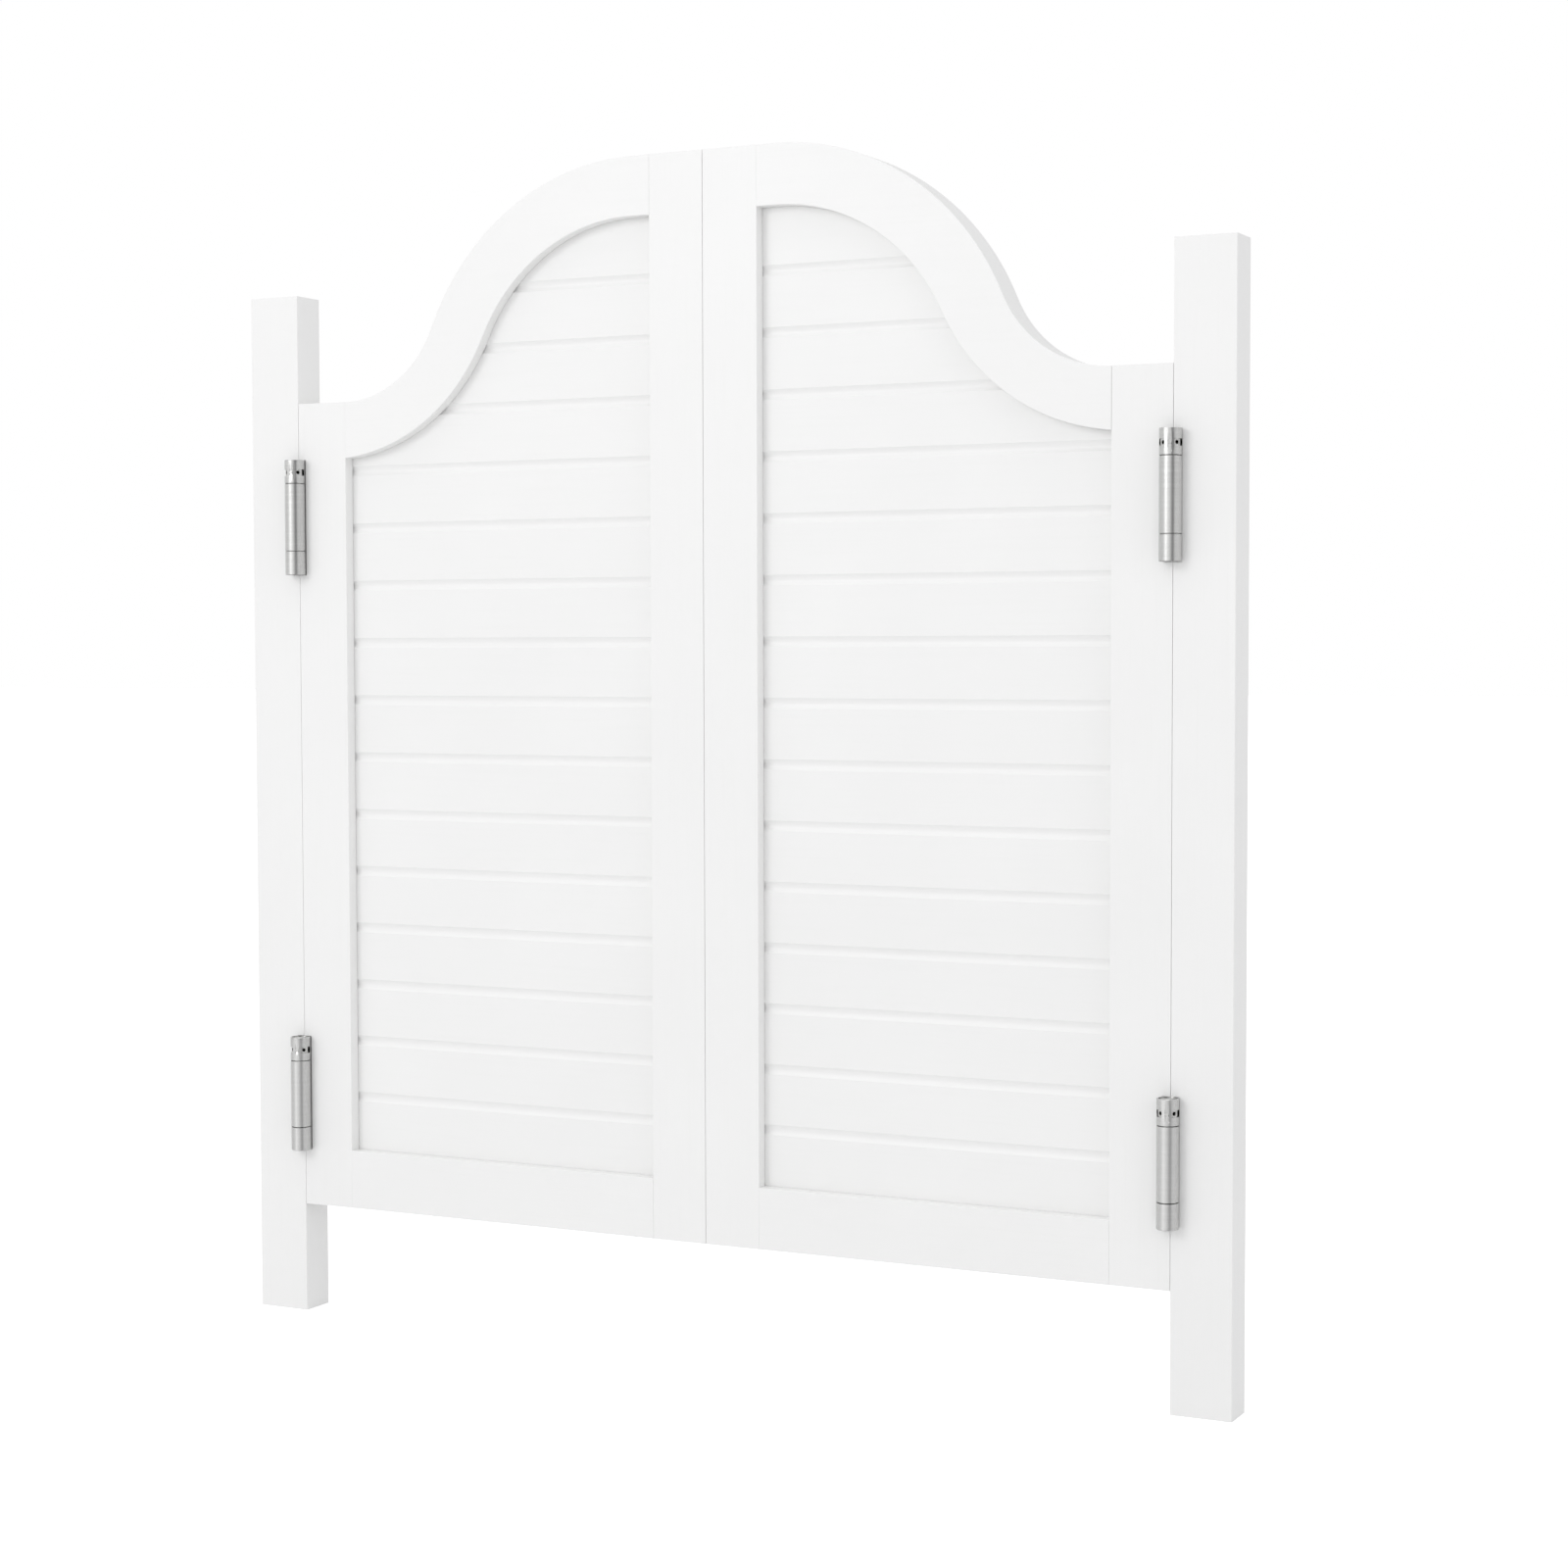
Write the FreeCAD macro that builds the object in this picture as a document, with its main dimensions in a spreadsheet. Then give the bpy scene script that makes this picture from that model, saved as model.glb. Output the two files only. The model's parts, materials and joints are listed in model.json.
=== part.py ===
"""Cafe swinging doors: two leaves on double-action spring hinges between two posts.

Every piece is modelled once, for the left-hand side. On the right-hand side stands the same
piece turned half round about the vertical line through the middle of the set, or, for the lock
stiles, whose meeting edges are bevelled towards the back, its mirror image. X runs across the
doorway, Y from front to back and Z up. The origin lies between the feet of the posts.
"""
import FreeCAD, Part
import math
import os
import Sketcher

doc = FreeCAD.newDocument("CafeSwingingDoors")

# ---------------------------------------------------------------- driving dimensions, in mm
DIMENSIONS = [
    # whole set
    ("overall_width", 915.0),
    ("frame_depth", 33.0),
    ("arris_radius", 0.5),
    ("joint_arris_radius", 0.4),
    ("gap_arris_radius", 0.25),
    ("end_arris_radius", 0.2),
    # posts
    ("post_width", 50.0),
    ("post_height", 908.0),
    ("post_gap", 0.3),
    # leaf frame
    ("meeting_gap", 0.3),
    ("meeting_bevel", 2.8),
    ("leaf_bottom", 97.0),
    ("leaf_low_top", 812.7),
    ("leaf_high_top", 1005.5),
    ("stile_width", 50.0),
    ("bottom_rail_width", 51.5),
    ("top_rail_width", 50.0),
    # sweep of the leaf's top edge
    ("sweep_low_radius", 98.5),
    ("sweep_high_flat", 66.6),
    # sweep of the opening under the top rail
    ("opening_low_radius", 173.5),
    ("opening_low_lead", 14.0),
    ("opening_high_flat", 68.0),
    # boards
    ("lower_board_count", 12),
    ("upper_board_count", 4),
    ("bottom_board_width", 47.3),
    ("top_board_width", 51.2),
    ("shoulder_joint_drop", 10.2),
    ("board_thickness", 11.0),
    ("board_seat", 10.0),
    ("board_end_play", 1.0),
    ("board_groove_play", 0.3),
    ("cove_half_width", 4.4),
    ("cove_depth", 1.5),
    ("tongue_length", 5.0),
    ("tongue_thickness", 2.2),
    ("tongue_play", 0.15),
    ("groove_overrun", 2.0),
    # dowels between rails and stiles
    ("dowel_diameter", 8.0),
    ("dowel_length", 50.0),
    ("dowel_chamfer", 1.0),
    ("dowel_play", 0.05),
    ("dowel_end_play", 0.5),
    ("dowel_edge_distance", 12.0),
    ("dowel_spacing", 16.0),
    # hinges: barrels, knuckles and plates
    ("hinge_height", 101.6),
    ("hinge_inset", 50.0),
    ("barrel_diameter", 17.6),
    ("barrel_wall", 1.2),
    ("barrel_projection", 6.3),
    ("barrel_room", 0.9),
    ("barrel_edge_break", 0.3),
    ("knuckle_height", 20.8),
    ("knuckle_seam", 0.4),
    ("journal_height", 4.0),
    ("running_clearance", 0.05),
    ("rim_depth", 0.8),
    ("leaf_plate_thickness", 2.0),
    ("centre_plate_thickness", 1.2),
    ("plate_clearance", 0.2),
    ("plate_edge_margin", 3.5),
    ("mortise_end_play", 0.3),
    # slots of the upper knuckle, tension collar and stop pin
    ("slot_width", 10.0),
    ("slot_height", 5.6),
    ("slot_drop", 11.2),
    ("slot_first_angle", -48.5),
    ("slot_spacing", 120.0),
    ("slot_count", 2),
    ("collar_hole_count", 8),
    ("stop_pin_diameter", 3.0),
    ("stop_pin_angle", 14.0),
    ("stop_pin_seat", 2.4),
    # barrel pin and spring
    ("spindle_diameter", 6.0),
    ("spring_wire", 1.8),
    ("spring_clearance", 0.5),
    ("spring_pitch", 4.2),
    ("spring_end_gap", 0.3),
    # wood screws of the hinge leaves
    ("screw_head_diameter", 7.0),
    ("screw_shank_diameter", 3.5),
    ("screw_length", 25.0),
    ("screw_tip_length", 5.0),
    ("screw_play", 0.05),
    ("screw_row_spacing", 14.0),
    ("screw_height_spacing", 24.0),
    ("screw_count", 4),
    ("recess_width", 0.9),
    ("recess_length", 3.8),
    ("recess_depth", 1.1),
]

sheet = doc.addObject("Spreadsheet::Sheet", "Sizes")
for row, (alias, number) in enumerate(DIMENSIONS, start=1):
    sheet.set("A%d" % row, alias)
    sheet.set("B%d" % row, str(number))
    sheet.setAlias("B%d" % row, alias)
doc.recompute()


def value(expression):
    """Number that a sheet expression stands for."""
    return float(sheet.evalExpression(expression))


# ---------------------------------------------------------------- worked-out sizes
# The hinge line runs up the middle of the gap between post and leaf. Left-hand pieces are
# modelled from it: the post on its -X side and the leaf on its +X side.
HALF_DEPTH = "(Sizes.frame_depth / 2)"
HALF_GAP = "(Sizes.post_gap / 2)"
HINGE_LINE = "(Sizes.overall_width / 2 - Sizes.post_width - Sizes.post_gap / 2)"
LEAF_EDGE = HALF_GAP
LEAF_WIDTH = "(" + HINGE_LINE + " - Sizes.post_gap / 2 - Sizes.meeting_gap / 2)"
OPENING_NEAR = "(" + LEAF_EDGE + " + Sizes.stile_width)"
OPENING_FAR = "(" + LEAF_EDGE + " + " + LEAF_WIDTH + " - Sizes.stile_width)"
OPENING_BOTTOM = "(Sizes.leaf_bottom + Sizes.bottom_rail_width)"
OPENING_LOW_TOP = "(Sizes.leaf_low_top - Sizes.top_rail_width)"
OPENING_HIGH_TOP = "(Sizes.leaf_high_top - Sizes.top_rail_width)"

GROOVE_DEPTH = "(Sizes.board_seat + Sizes.board_end_play)"
GROOVE_WIDTH = "(Sizes.board_thickness + 2 * Sizes.board_groove_play)"

BARREL_RADIUS = "(Sizes.barrel_diameter / 2)"
BARREL_BORE = "(" + BARREL_RADIUS + " - Sizes.barrel_wall)"
BARREL_ROOM = "(" + BARREL_RADIUS + " + Sizes.barrel_room)"
BARREL_STAND = "(" + HALF_DEPTH + " + Sizes.barrel_projection)"
JOURNAL_RADIUS = "(" + BARREL_BORE + " - Sizes.running_clearance)"
SPINDLE_RADIUS = "(Sizes.spindle_diameter / 2)"
DISH_RADIUS = "(" + JOURNAL_RADIUS + " - Sizes.barrel_wall)"
UPPER_KNUCKLE = "(Sizes.hinge_height - Sizes.knuckle_height)"
SLEEVE_BOTTOM = "(Sizes.knuckle_height + Sizes.knuckle_seam)"
SLEEVE_TOP = "(" + UPPER_KNUCKLE + " - Sizes.knuckle_seam)"
JOURNAL_TOP = "(" + SLEEVE_BOTTOM + " + Sizes.journal_height)"
COLLAR_BOTTOM = "(" + SLEEVE_TOP + " - Sizes.journal_height)"
SLOT_MIDDLE = "(Sizes.hinge_height - Sizes.slot_drop)"
STOP_PIN_HOLE = "(Sizes.stop_pin_diameter / 2 + Sizes.running_clearance)"
STOP_PIN_START = "(" + JOURNAL_RADIUS + " - Sizes.stop_pin_seat)"
PLATE_FACE = "(Sizes.centre_plate_thickness / 2 + Sizes.plate_clearance)"
PLATE_BACK = "(" + PLATE_FACE + " + Sizes.leaf_plate_thickness)"
PLATE_END = "(" + BARREL_STAND + " + " + HALF_DEPTH + " - Sizes.plate_edge_margin)"
SCREW_HOLE = "(Sizes.screw_shank_diameter / 2 + Sizes.screw_play)"
LOWER_HINGE = "(Sizes.leaf_bottom + Sizes.hinge_inset)"
UPPER_HINGE = "(Sizes.leaf_low_top - Sizes.hinge_inset - Sizes.hinge_height)"

X_AXIS = FreeCAD.Vector(1, 0, 0)
Y_AXIS = FreeCAD.Vector(0, 1, 0)
Z_AXIS = FreeCAD.Vector(0, 0, 1)
ORIGIN = FreeCAD.Vector(0, 0, 0)

parts = {}


# ---------------------------------------------------------------- modelling helpers
def origin_feature(body, role):
    """Plane or axis of the body's own origin."""
    return next(item for item in body.Origin.OriginFeatures if item.Role == role)


def new_body(name):
    body = doc.addObject("PartDesign::Body", name)
    body.Label = name
    return body


def new_sketch(body, name, plane, offset="0"):
    """Sketch on one of the body's origin planes, moved along that plane's normal."""
    sketch = body.newObject("Sketcher::SketchObject", name)
    sketch.AttachmentSupport = [(origin_feature(body, plane), "")]
    sketch.MapMode = "FlatFace"
    sketch.setExpression("AttachmentOffset.Base.z", offset)
    return sketch


def bind(sketch, constraints):
    """Add constraints, each with the expression that its value comes from."""
    first = sketch.ConstraintCount
    sketch.addConstraint([constraint for constraint, expression in constraints])
    for index, (constraint, expression) in enumerate(constraints, start=first):
        if expression is not None:
            sketch.renameConstraint(index, "size%d" % index)
            sketch.setExpression("Constraints.size%d" % index, expression)


def point_constraints(geometry, point, x, y):
    return [
        (Sketcher.Constraint("DistanceX", -1, 1, geometry, point, value(x)), x),
        (Sketcher.Constraint("DistanceY", -1, 1, geometry, point, value(y)), y),
    ]


def add_polygon(sketch, corners):
    """Closed outline of straight lines through corners given as pairs of expressions."""
    first = sketch.GeometryCount
    points = [FreeCAD.Vector(value(x), value(y), 0) for x, y in corners]
    count = len(points)
    sketch.addGeometry([Part.LineSegment(points[i], points[(i + 1) % count])
                        for i in range(count)], False)
    constraints = []
    for i in range(count):
        following = first + (i + 1) % count
        constraints.append((Sketcher.Constraint("Coincident", first + i, 2, following, 1), None))
        constraints += point_constraints(first + i, 1, *corners[i])
    bind(sketch, constraints)


def add_rectangle(sketch, left, right, bottom, top):
    add_polygon(sketch, [(left, bottom), (right, bottom), (right, top), (left, top)])


def add_circle(sketch, x, y, radius):
    centre = FreeCAD.Vector(value(x), value(y), 0)
    geometry = sketch.addGeometry(Part.Circle(centre, Z_AXIS, value(radius)), False)
    constraints = point_constraints(geometry, 3, x, y)
    constraints.append((Sketcher.Constraint("Radius", geometry, value(radius)), radius))
    bind(sketch, constraints)


def add_pad(body, sketch, length, centred=False, reverse=False):
    pad = body.newObject("PartDesign::Pad", sketch.Name + "Pad")
    pad.Profile = sketch
    pad.Midplane = centred
    pad.Reversed = reverse
    pad.setExpression("Length", length)
    sketch.Visibility = False
    return pad


def add_pocket(body, sketch, length, centred=False, reverse=False):
    """Cut that has to take material away from the body."""
    doc.recompute()
    before = body.Shape.Volume
    pocket = body.newObject("PartDesign::Pocket", sketch.Name + "Pocket")
    pocket.Profile = sketch
    pocket.Midplane = centred
    pocket.Reversed = reverse
    pocket.setExpression("Length", length)
    doc.recompute()
    if body.Shape.Volume >= before:
        raise RuntimeError(pocket.Name + " cuts nothing")
    return pocket


def add_fillet(body, name, radius, wanted):
    """Round the edges of the body for which wanted(edge) is true."""
    doc.recompute()
    names = ["Edge%d" % (index + 1) for index, edge in enumerate(body.Shape.Edges)
             if wanted(edge)]
    base = body.Tip
    fillet = body.newObject("PartDesign::Fillet", name)
    fillet.Base = (base, names)
    fillet.setExpression("Radius", radius)
    doc.recompute()


def add_chamfer(body, name, size, wanted):
    """Bevel the edges of the body for which wanted(edge) is true."""
    doc.recompute()
    names = ["Edge%d" % (index + 1) for index, edge in enumerate(body.Shape.Edges)
             if wanted(edge)]
    base = body.Tip
    chamfer = body.newObject("PartDesign::Chamfer", name)
    chamfer.Base = (base, names)
    chamfer.setExpression("Size", size)
    doc.recompute()


def add_revolution(body, sketch):
    """Full turn of a profile about the body's Z axis."""
    revolution = body.newObject("PartDesign::Revolution", sketch.Name + "Turned")
    revolution.Profile = sketch
    revolution.ReferenceAxis = (origin_feature(body, "Z_Axis"), [""])
    revolution.Angle = 360
    doc.recompute()
    return revolution


def add_linear_pattern(body, name, features, axis, length, count):
    pattern = body.newObject("PartDesign::LinearPattern", name)
    pattern.Originals = features
    pattern.Direction = (origin_feature(body, axis), [""])
    pattern.setExpression("Length", length)
    pattern.setExpression("Occurrences", count)
    body.Tip = pattern
    doc.recompute()
    return pattern


def add_polar_pattern(body, name, features, angle, count):
    pattern = body.newObject("PartDesign::PolarPattern", name)
    pattern.Originals = features
    pattern.Axis = (origin_feature(body, "Z_Axis"), [""])
    pattern.setExpression("Angle", angle)
    pattern.setExpression("Occurrences", count)
    body.Tip = pattern
    doc.recompute()
    return pattern


def is_upright(edge):
    """True for a straight edge along Z."""
    return (edge.Curve.TypeId == "Part::GeomLine"
            and abs(edge.tangentAt(edge.FirstParameter).z) > 0.999)


def placed_copy(source, placement):
    link = doc.addObject("App::Link", source.Name + "Copy")
    link.setLink(source)
    link.LinkPlacement = placement
    return link


def group_of_copies(name, source_placements):
    """One part made of a piece's copies, each at its own placement."""
    group = doc.addObject("Part::Compound", name)
    group.Label = name
    group.Links = [placed_copy(source, placement) for source, placement in source_placements]
    parts[name] = group
    return group


def upward(height):
    """Placement that lifts by an expression."""
    return FreeCAD.Placement(Z_AXIS * value(height), FreeCAD.Rotation())


LEFT_SIDE = FreeCAD.Placement(FreeCAD.Vector(-value(HINGE_LINE), 0, 0), FreeCAD.Rotation())
HALF_TURN = FreeCAD.Placement(ORIGIN, FreeCAD.Rotation(Z_AXIS, 180))
RIGHT_SIDE = HALF_TURN.multiply(LEFT_SIDE)


def keep_left_side(body, name):
    """Put a piece at the left hinge line and keep it as a part."""
    body.Label = "left_" + name
    body.setExpression("Placement.Base.x", "-" + HINGE_LINE)
    parts["left_" + name] = body


def keep_both_sides(body, name):
    """Left-hand piece at the left hinge line and its copy, turned half round, at the right."""
    keep_left_side(body, name)
    group_of_copies("right_" + name, [(body, RIGHT_SIDE)])


# ---------------------------------------------------------------- seats for the hinges
def screw_positions():
    """Across and up position of each screw, from mid-depth and from the hinge's lower end."""
    positions = []
    count = int(value("Sizes.screw_count"))
    for index in range(count):
        across = "(%d) * Sizes.screw_row_spacing / 2" % (1 if index % 2 else -1)
        up = "(Sizes.hinge_height / 2 + (%.1f) * Sizes.screw_height_spacing)" % (
            index - (count - 1) / 2)
        positions.append((across, up))
    return positions


def cut_hinge_seats(body, side):
    """Mortise, screw holes and hollows for the barrels of both hinges in a post or hinge stile.

    side is -1 for the post and 1 for the leaf, by where the wood lies from the hinge line.
    """
    mortise = new_sketch(body, body.Name + "Mortise", "XZ_Plane")
    edges = ["0", "%d * %s" % (side, PLATE_BACK)]
    edges.sort(key=value)
    add_rectangle(mortise, edges[0], edges[1], LOWER_HINGE + " - Sizes.mortise_end_play",
                  LOWER_HINGE + " + Sizes.hinge_height + Sizes.mortise_end_play")
    mortise_cut = add_pocket(body, mortise, "2 * Sizes.frame_depth", centred=True)

    hollows = new_sketch(body, body.Name + "BarrelHollows", "XY_Plane",
                         LOWER_HINGE + " - Sizes.mortise_end_play")
    add_circle(hollows, "0", BARREL_STAND, BARREL_ROOM)
    add_circle(hollows, "0", "-" + BARREL_STAND, BARREL_ROOM)
    hollow_cut = add_pocket(body, hollows, "Sizes.hinge_height + 2 * Sizes.mortise_end_play",
                            reverse=True)

    # the door leaf is the jamb leaf turned round, so its rows of screws swap over
    holes = new_sketch(body, body.Name + "ScrewHoles", "YZ_Plane")
    for across, up in screw_positions():
        add_circle(holes, "%d * %s" % (-side, across), LOWER_HINGE + " + " + up, SCREW_HOLE)
    reach = PLATE_FACE + " + Sizes.screw_length + Sizes.screw_play"
    hole_cut = add_pocket(body, holes, reach, reverse=side > 0)
    add_linear_pattern(body, body.Name + "HingeSeats", [mortise_cut, hollow_cut, hole_cut],
                       "Z_Axis", UPPER_HINGE + " - " + LOWER_HINGE, "2")


# ---------------------------------------------------------------- posts
def is_end_edge_at(height):
    """Test for edges that lie level at a height."""
    return lambda edge: (edge.BoundBox.ZLength < 1e-4
                         and abs(edge.BoundBox.ZMin - value(height)) < 1e-4)


def is_at_gap(edge):
    """True for the post's upright edges beside the leaf."""
    return is_upright(edge) and abs(edge.BoundBox.XMax + value(HALF_GAP)) < 1e-4


post = new_body("left_post")
post_section = new_sketch(post, "PostSection", "XY_Plane")
add_rectangle(post_section, "-" + HALF_GAP + " - Sizes.post_width", "-" + HALF_GAP,
              "-" + HALF_DEPTH, HALF_DEPTH)
add_pad(post, post_section, "Sizes.post_height")
add_fillet(post, "PostArrises", "Sizes.arris_radius",
           lambda edge: is_upright(edge) and not is_at_gap(edge))
add_fillet(post, "PostGapArrises", "Sizes.gap_arris_radius", is_at_gap)
add_fillet(post, "PostTopArris", "Sizes.end_arris_radius", is_end_edge_at("Sizes.post_height"))
cut_hinge_seats(post, -1)
keep_both_sides(post, "post")


# ---------------------------------------------------------------- stiles
def make_stile(name, near, top, inner_edge, groove_top, bevel="0"):
    """Stile with a stopped groove for the boards' ends in its inner edge.

    The edge away from the hinge is set in by the bevel at the back face.
    """
    stile = new_body(name)
    section = new_sketch(stile, name + "Section", "XY_Plane", "Sizes.leaf_bottom")
    far = near + " + Sizes.stile_width"
    add_polygon(section, [(near, "-" + HALF_DEPTH), (far, "-" + HALF_DEPTH),
                          (far + " - " + bevel, HALF_DEPTH), (near, HALF_DEPTH)])
    add_pad(stile, section, top + " - Sizes.leaf_bottom")

    def is_inner(edge):
        return is_upright(edge) and abs(edge.BoundBox.XMin - value(inner_edge)) < 1e-4

    def is_end(edge):
        return is_end_edge_at("Sizes.leaf_bottom")(edge) or is_end_edge_at(top)(edge)

    add_fillet(stile, name + "OuterArrises", "Sizes.gap_arris_radius",
               lambda edge: is_upright(edge) and not is_inner(edge))
    add_fillet(stile, name + "InnerArrises", "Sizes.joint_arris_radius", is_inner)
    add_fillet(stile, name + "EndArrises", "Sizes.end_arris_radius", is_end)

    groove_bottom = "(" + OPENING_BOTTOM + " - " + GROOVE_DEPTH + ")"
    groove = new_sketch(stile, name + "Groove", "XY_Plane", groove_bottom)
    edges = ["%s - %s" % (inner_edge, GROOVE_DEPTH), "%s + %s" % (inner_edge, GROOVE_DEPTH)]
    add_rectangle(groove, edges[0], edges[1], "-%s / 2" % GROOVE_WIDTH, "%s / 2" % GROOVE_WIDTH)
    add_pocket(stile, groove, groove_top + " - " + groove_bottom, reverse=True)
    return stile


def add_dowel_holes(body, name, plane_x, side, heights):
    """Blind holes from the plane x = plane_x into the wood on the side given by its sign."""
    sketch = new_sketch(body, name, "YZ_Plane", plane_x)
    for height in heights:
        add_circle(sketch, "0", height, "Sizes.dowel_diameter / 2 + Sizes.dowel_play")
    add_pocket(body, sketch, "Sizes.dowel_length / 2 + Sizes.dowel_end_play",
               reverse=side > 0)


def dowel_pair(edge, side):
    """Heights of two dowels beside an edge, above it where side is 1 and below where -1."""
    first = "%s + (%d) * Sizes.dowel_edge_distance" % (edge, side)
    return [first, "%s + (%d) * Sizes.dowel_spacing" % (first, side)]


HINGE_STILE_DOWELS = dowel_pair("Sizes.leaf_bottom", 1) + dowel_pair("Sizes.leaf_low_top", -1)
LOCK_STILE_DOWELS = dowel_pair("Sizes.leaf_bottom", 1) + dowel_pair("Sizes.leaf_high_top", -1)

hinge_stile = make_stile("left_hinge_stile", LEAF_EDGE, "Sizes.leaf_low_top", OPENING_NEAR,
                         OPENING_LOW_TOP + " + " + GROOVE_DEPTH + " + Sizes.groove_overrun")
add_dowel_holes(hinge_stile, "HingeStileDowelHoles", OPENING_NEAR, -1, HINGE_STILE_DOWELS)
cut_hinge_seats(hinge_stile, 1)
keep_both_sides(hinge_stile, "hinge_stile")

lock_stile = make_stile("left_lock_stile", OPENING_FAR, "Sizes.leaf_high_top", OPENING_FAR,
                        OPENING_HIGH_TOP + " + " + GROOVE_DEPTH, "Sizes.meeting_bevel")
add_dowel_holes(lock_stile, "LockStileDowelHoles", OPENING_FAR, 1, LOCK_STILE_DOWELS)
keep_left_side(lock_stile, "lock_stile")
mirrored_stile = doc.addObject("Part::Mirroring", "right_lock_stile")
mirrored_stile.Source = lock_stile
mirrored_stile.Normal = X_AXIS
parts["right_lock_stile"] = mirrored_stile


# ---------------------------------------------------------------- rails
def sweep(low_x, low_z, high_x, high_z, low_radius):
    """Two arcs that meet in a tangent: a hollow one at the low end, a round one at the high end.

    The hollow arc's lowest point is (low_x, low_z) and the round arc's highest is
    (high_x, high_z), all given as expressions.
    """
    run = value(high_x) - value(low_x)
    rise = value(high_z) - value(low_z)
    radius = value(low_radius)
    high_radius = (run * run + rise * rise) / (2 * rise) - radius
    low_centre = FreeCAD.Vector(value(low_x), value(low_z) + radius, 0)
    high_centre = FreeCAD.Vector(value(high_x), value(high_z) - high_radius, 0)
    joint = low_centre + (high_centre - low_centre) * (radius / (radius + high_radius))
    return {"low_x": low_x, "low_z": low_z, "high_x": high_x, "high_z": high_z,
            "low_radius": low_radius, "low_centre": low_centre, "high_centre": high_centre,
            "high_radius": high_radius, "joint": joint}


def raised_sweep(base, rise):
    """The same sweep moved square to itself, upwards by an expression."""
    return sweep(base["low_x"], base["low_z"] + " + " + rise, base["high_x"],
                 base["high_z"] + " + " + rise, base["low_radius"] + " - " + rise)


def angle_of(point, centre):
    return math.atan2(point.y - centre.y, point.x - centre.x)


def add_sweep(sketch, curve, near_x, far_x):
    """Hollow arc from x = near_x, round arc and level line to x = far_x.

    Returns the numbers of the first and last piece of the edge.
    """
    low, high = curve["low_centre"], curve["high_centre"]
    low_radius, high_radius = value(curve["low_radius"]), curve["high_radius"]
    start_drop = math.sqrt(low_radius ** 2 - (value(near_x) - low.x) ** 2)
    start = FreeCAD.Vector(value(near_x), low.y - start_drop, 0)
    crown = FreeCAD.Vector(high.x, high.y + high_radius, 0)
    end = FreeCAD.Vector(value(far_x), crown.y, 0)
    first = sketch.addGeometry(Part.ArcOfCircle(
        Part.Circle(low, Z_AXIS, low_radius), angle_of(start, low),
        angle_of(curve["joint"], low)), False)
    sketch.addGeometry(Part.ArcOfCircle(
        Part.Circle(high, Z_AXIS, high_radius), math.pi / 2,
        angle_of(curve["joint"], high)), False)
    sketch.addGeometry(Part.LineSegment(crown, end), False)
    low_centre_z = curve["low_z"] + " + " + curve["low_radius"]
    constraints = point_constraints(first, 3, curve["low_x"], low_centre_z)
    constraints += [
        (Sketcher.Constraint("Radius", first, low_radius), curve["low_radius"]),
        (Sketcher.Constraint("DistanceX", -1, 1, first, 1, start.x), near_x),
        (Sketcher.Constraint("Tangent", first, 2, first + 1, 2), None),
        (Sketcher.Constraint("DistanceX", -1, 1, first + 1, 3, high.x), curve["high_x"]),
        (Sketcher.Constraint("Tangent", first + 1, 1, first + 2, 1), None),
        (Sketcher.Constraint("Horizontal", first + 2), None),
        (Sketcher.Constraint("DistanceY", -1, 1, first + 2, 2, end.y), curve["high_z"]),
        (Sketcher.Constraint("DistanceX", -1, 1, first + 2, 2, end.x), far_x),
    ]
    bind(sketch, constraints)
    return first, first + 2


def end_point(sketch, geometry, position):
    point = sketch.getPoint(geometry, position)
    return FreeCAD.Vector(point.x, point.y, 0)


def join_points(sketch, geometry_a, position_a, geometry_b, position_b):
    """Straight line between two ends of the outline."""
    line = sketch.addGeometry(Part.LineSegment(end_point(sketch, geometry_a, position_a),
                                               end_point(sketch, geometry_b, position_b)), False)
    sketch.addConstraint([
        Sketcher.Constraint("Coincident", line, 1, geometry_a, position_a),
        Sketcher.Constraint("Coincident", line, 2, geometry_b, position_b),
    ])


def add_band(sketch, lower_curve, upper_curve, near_x, far_x):
    """Closed outline between two sweeps."""
    lower_first, lower_last = add_sweep(sketch, lower_curve, near_x, far_x)
    upper_first, upper_last = add_sweep(sketch, upper_curve, near_x, far_x)
    join_points(sketch, lower_first, 1, upper_first, 1)
    join_points(sketch, lower_last, 2, upper_last, 2)


def is_face_edge(edge):
    """True for the long edges of a rail on its front and back faces."""
    box = edge.BoundBox
    on_face = abs(abs(box.YMin) - value(HALF_DEPTH)) < 1e-4 and box.YLength < 1e-4
    return on_face and box.XLength > value("Sizes.arris_radius")


LOCK_EDGE = "(" + LEAF_EDGE + " + " + LEAF_WIDTH + ")"
OUTER_SWEEP = sweep(OPENING_NEAR, "Sizes.leaf_low_top",
                    "(" + LOCK_EDGE + " - Sizes.sweep_high_flat)", "Sizes.leaf_high_top",
                    "Sizes.sweep_low_radius")
INNER_SWEEP = sweep("(" + OPENING_NEAR + " - Sizes.opening_low_lead)", OPENING_LOW_TOP,
                    "(" + LOCK_EDGE + " - Sizes.opening_high_flat)", OPENING_HIGH_TOP,
                    "Sizes.opening_low_radius")

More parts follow.
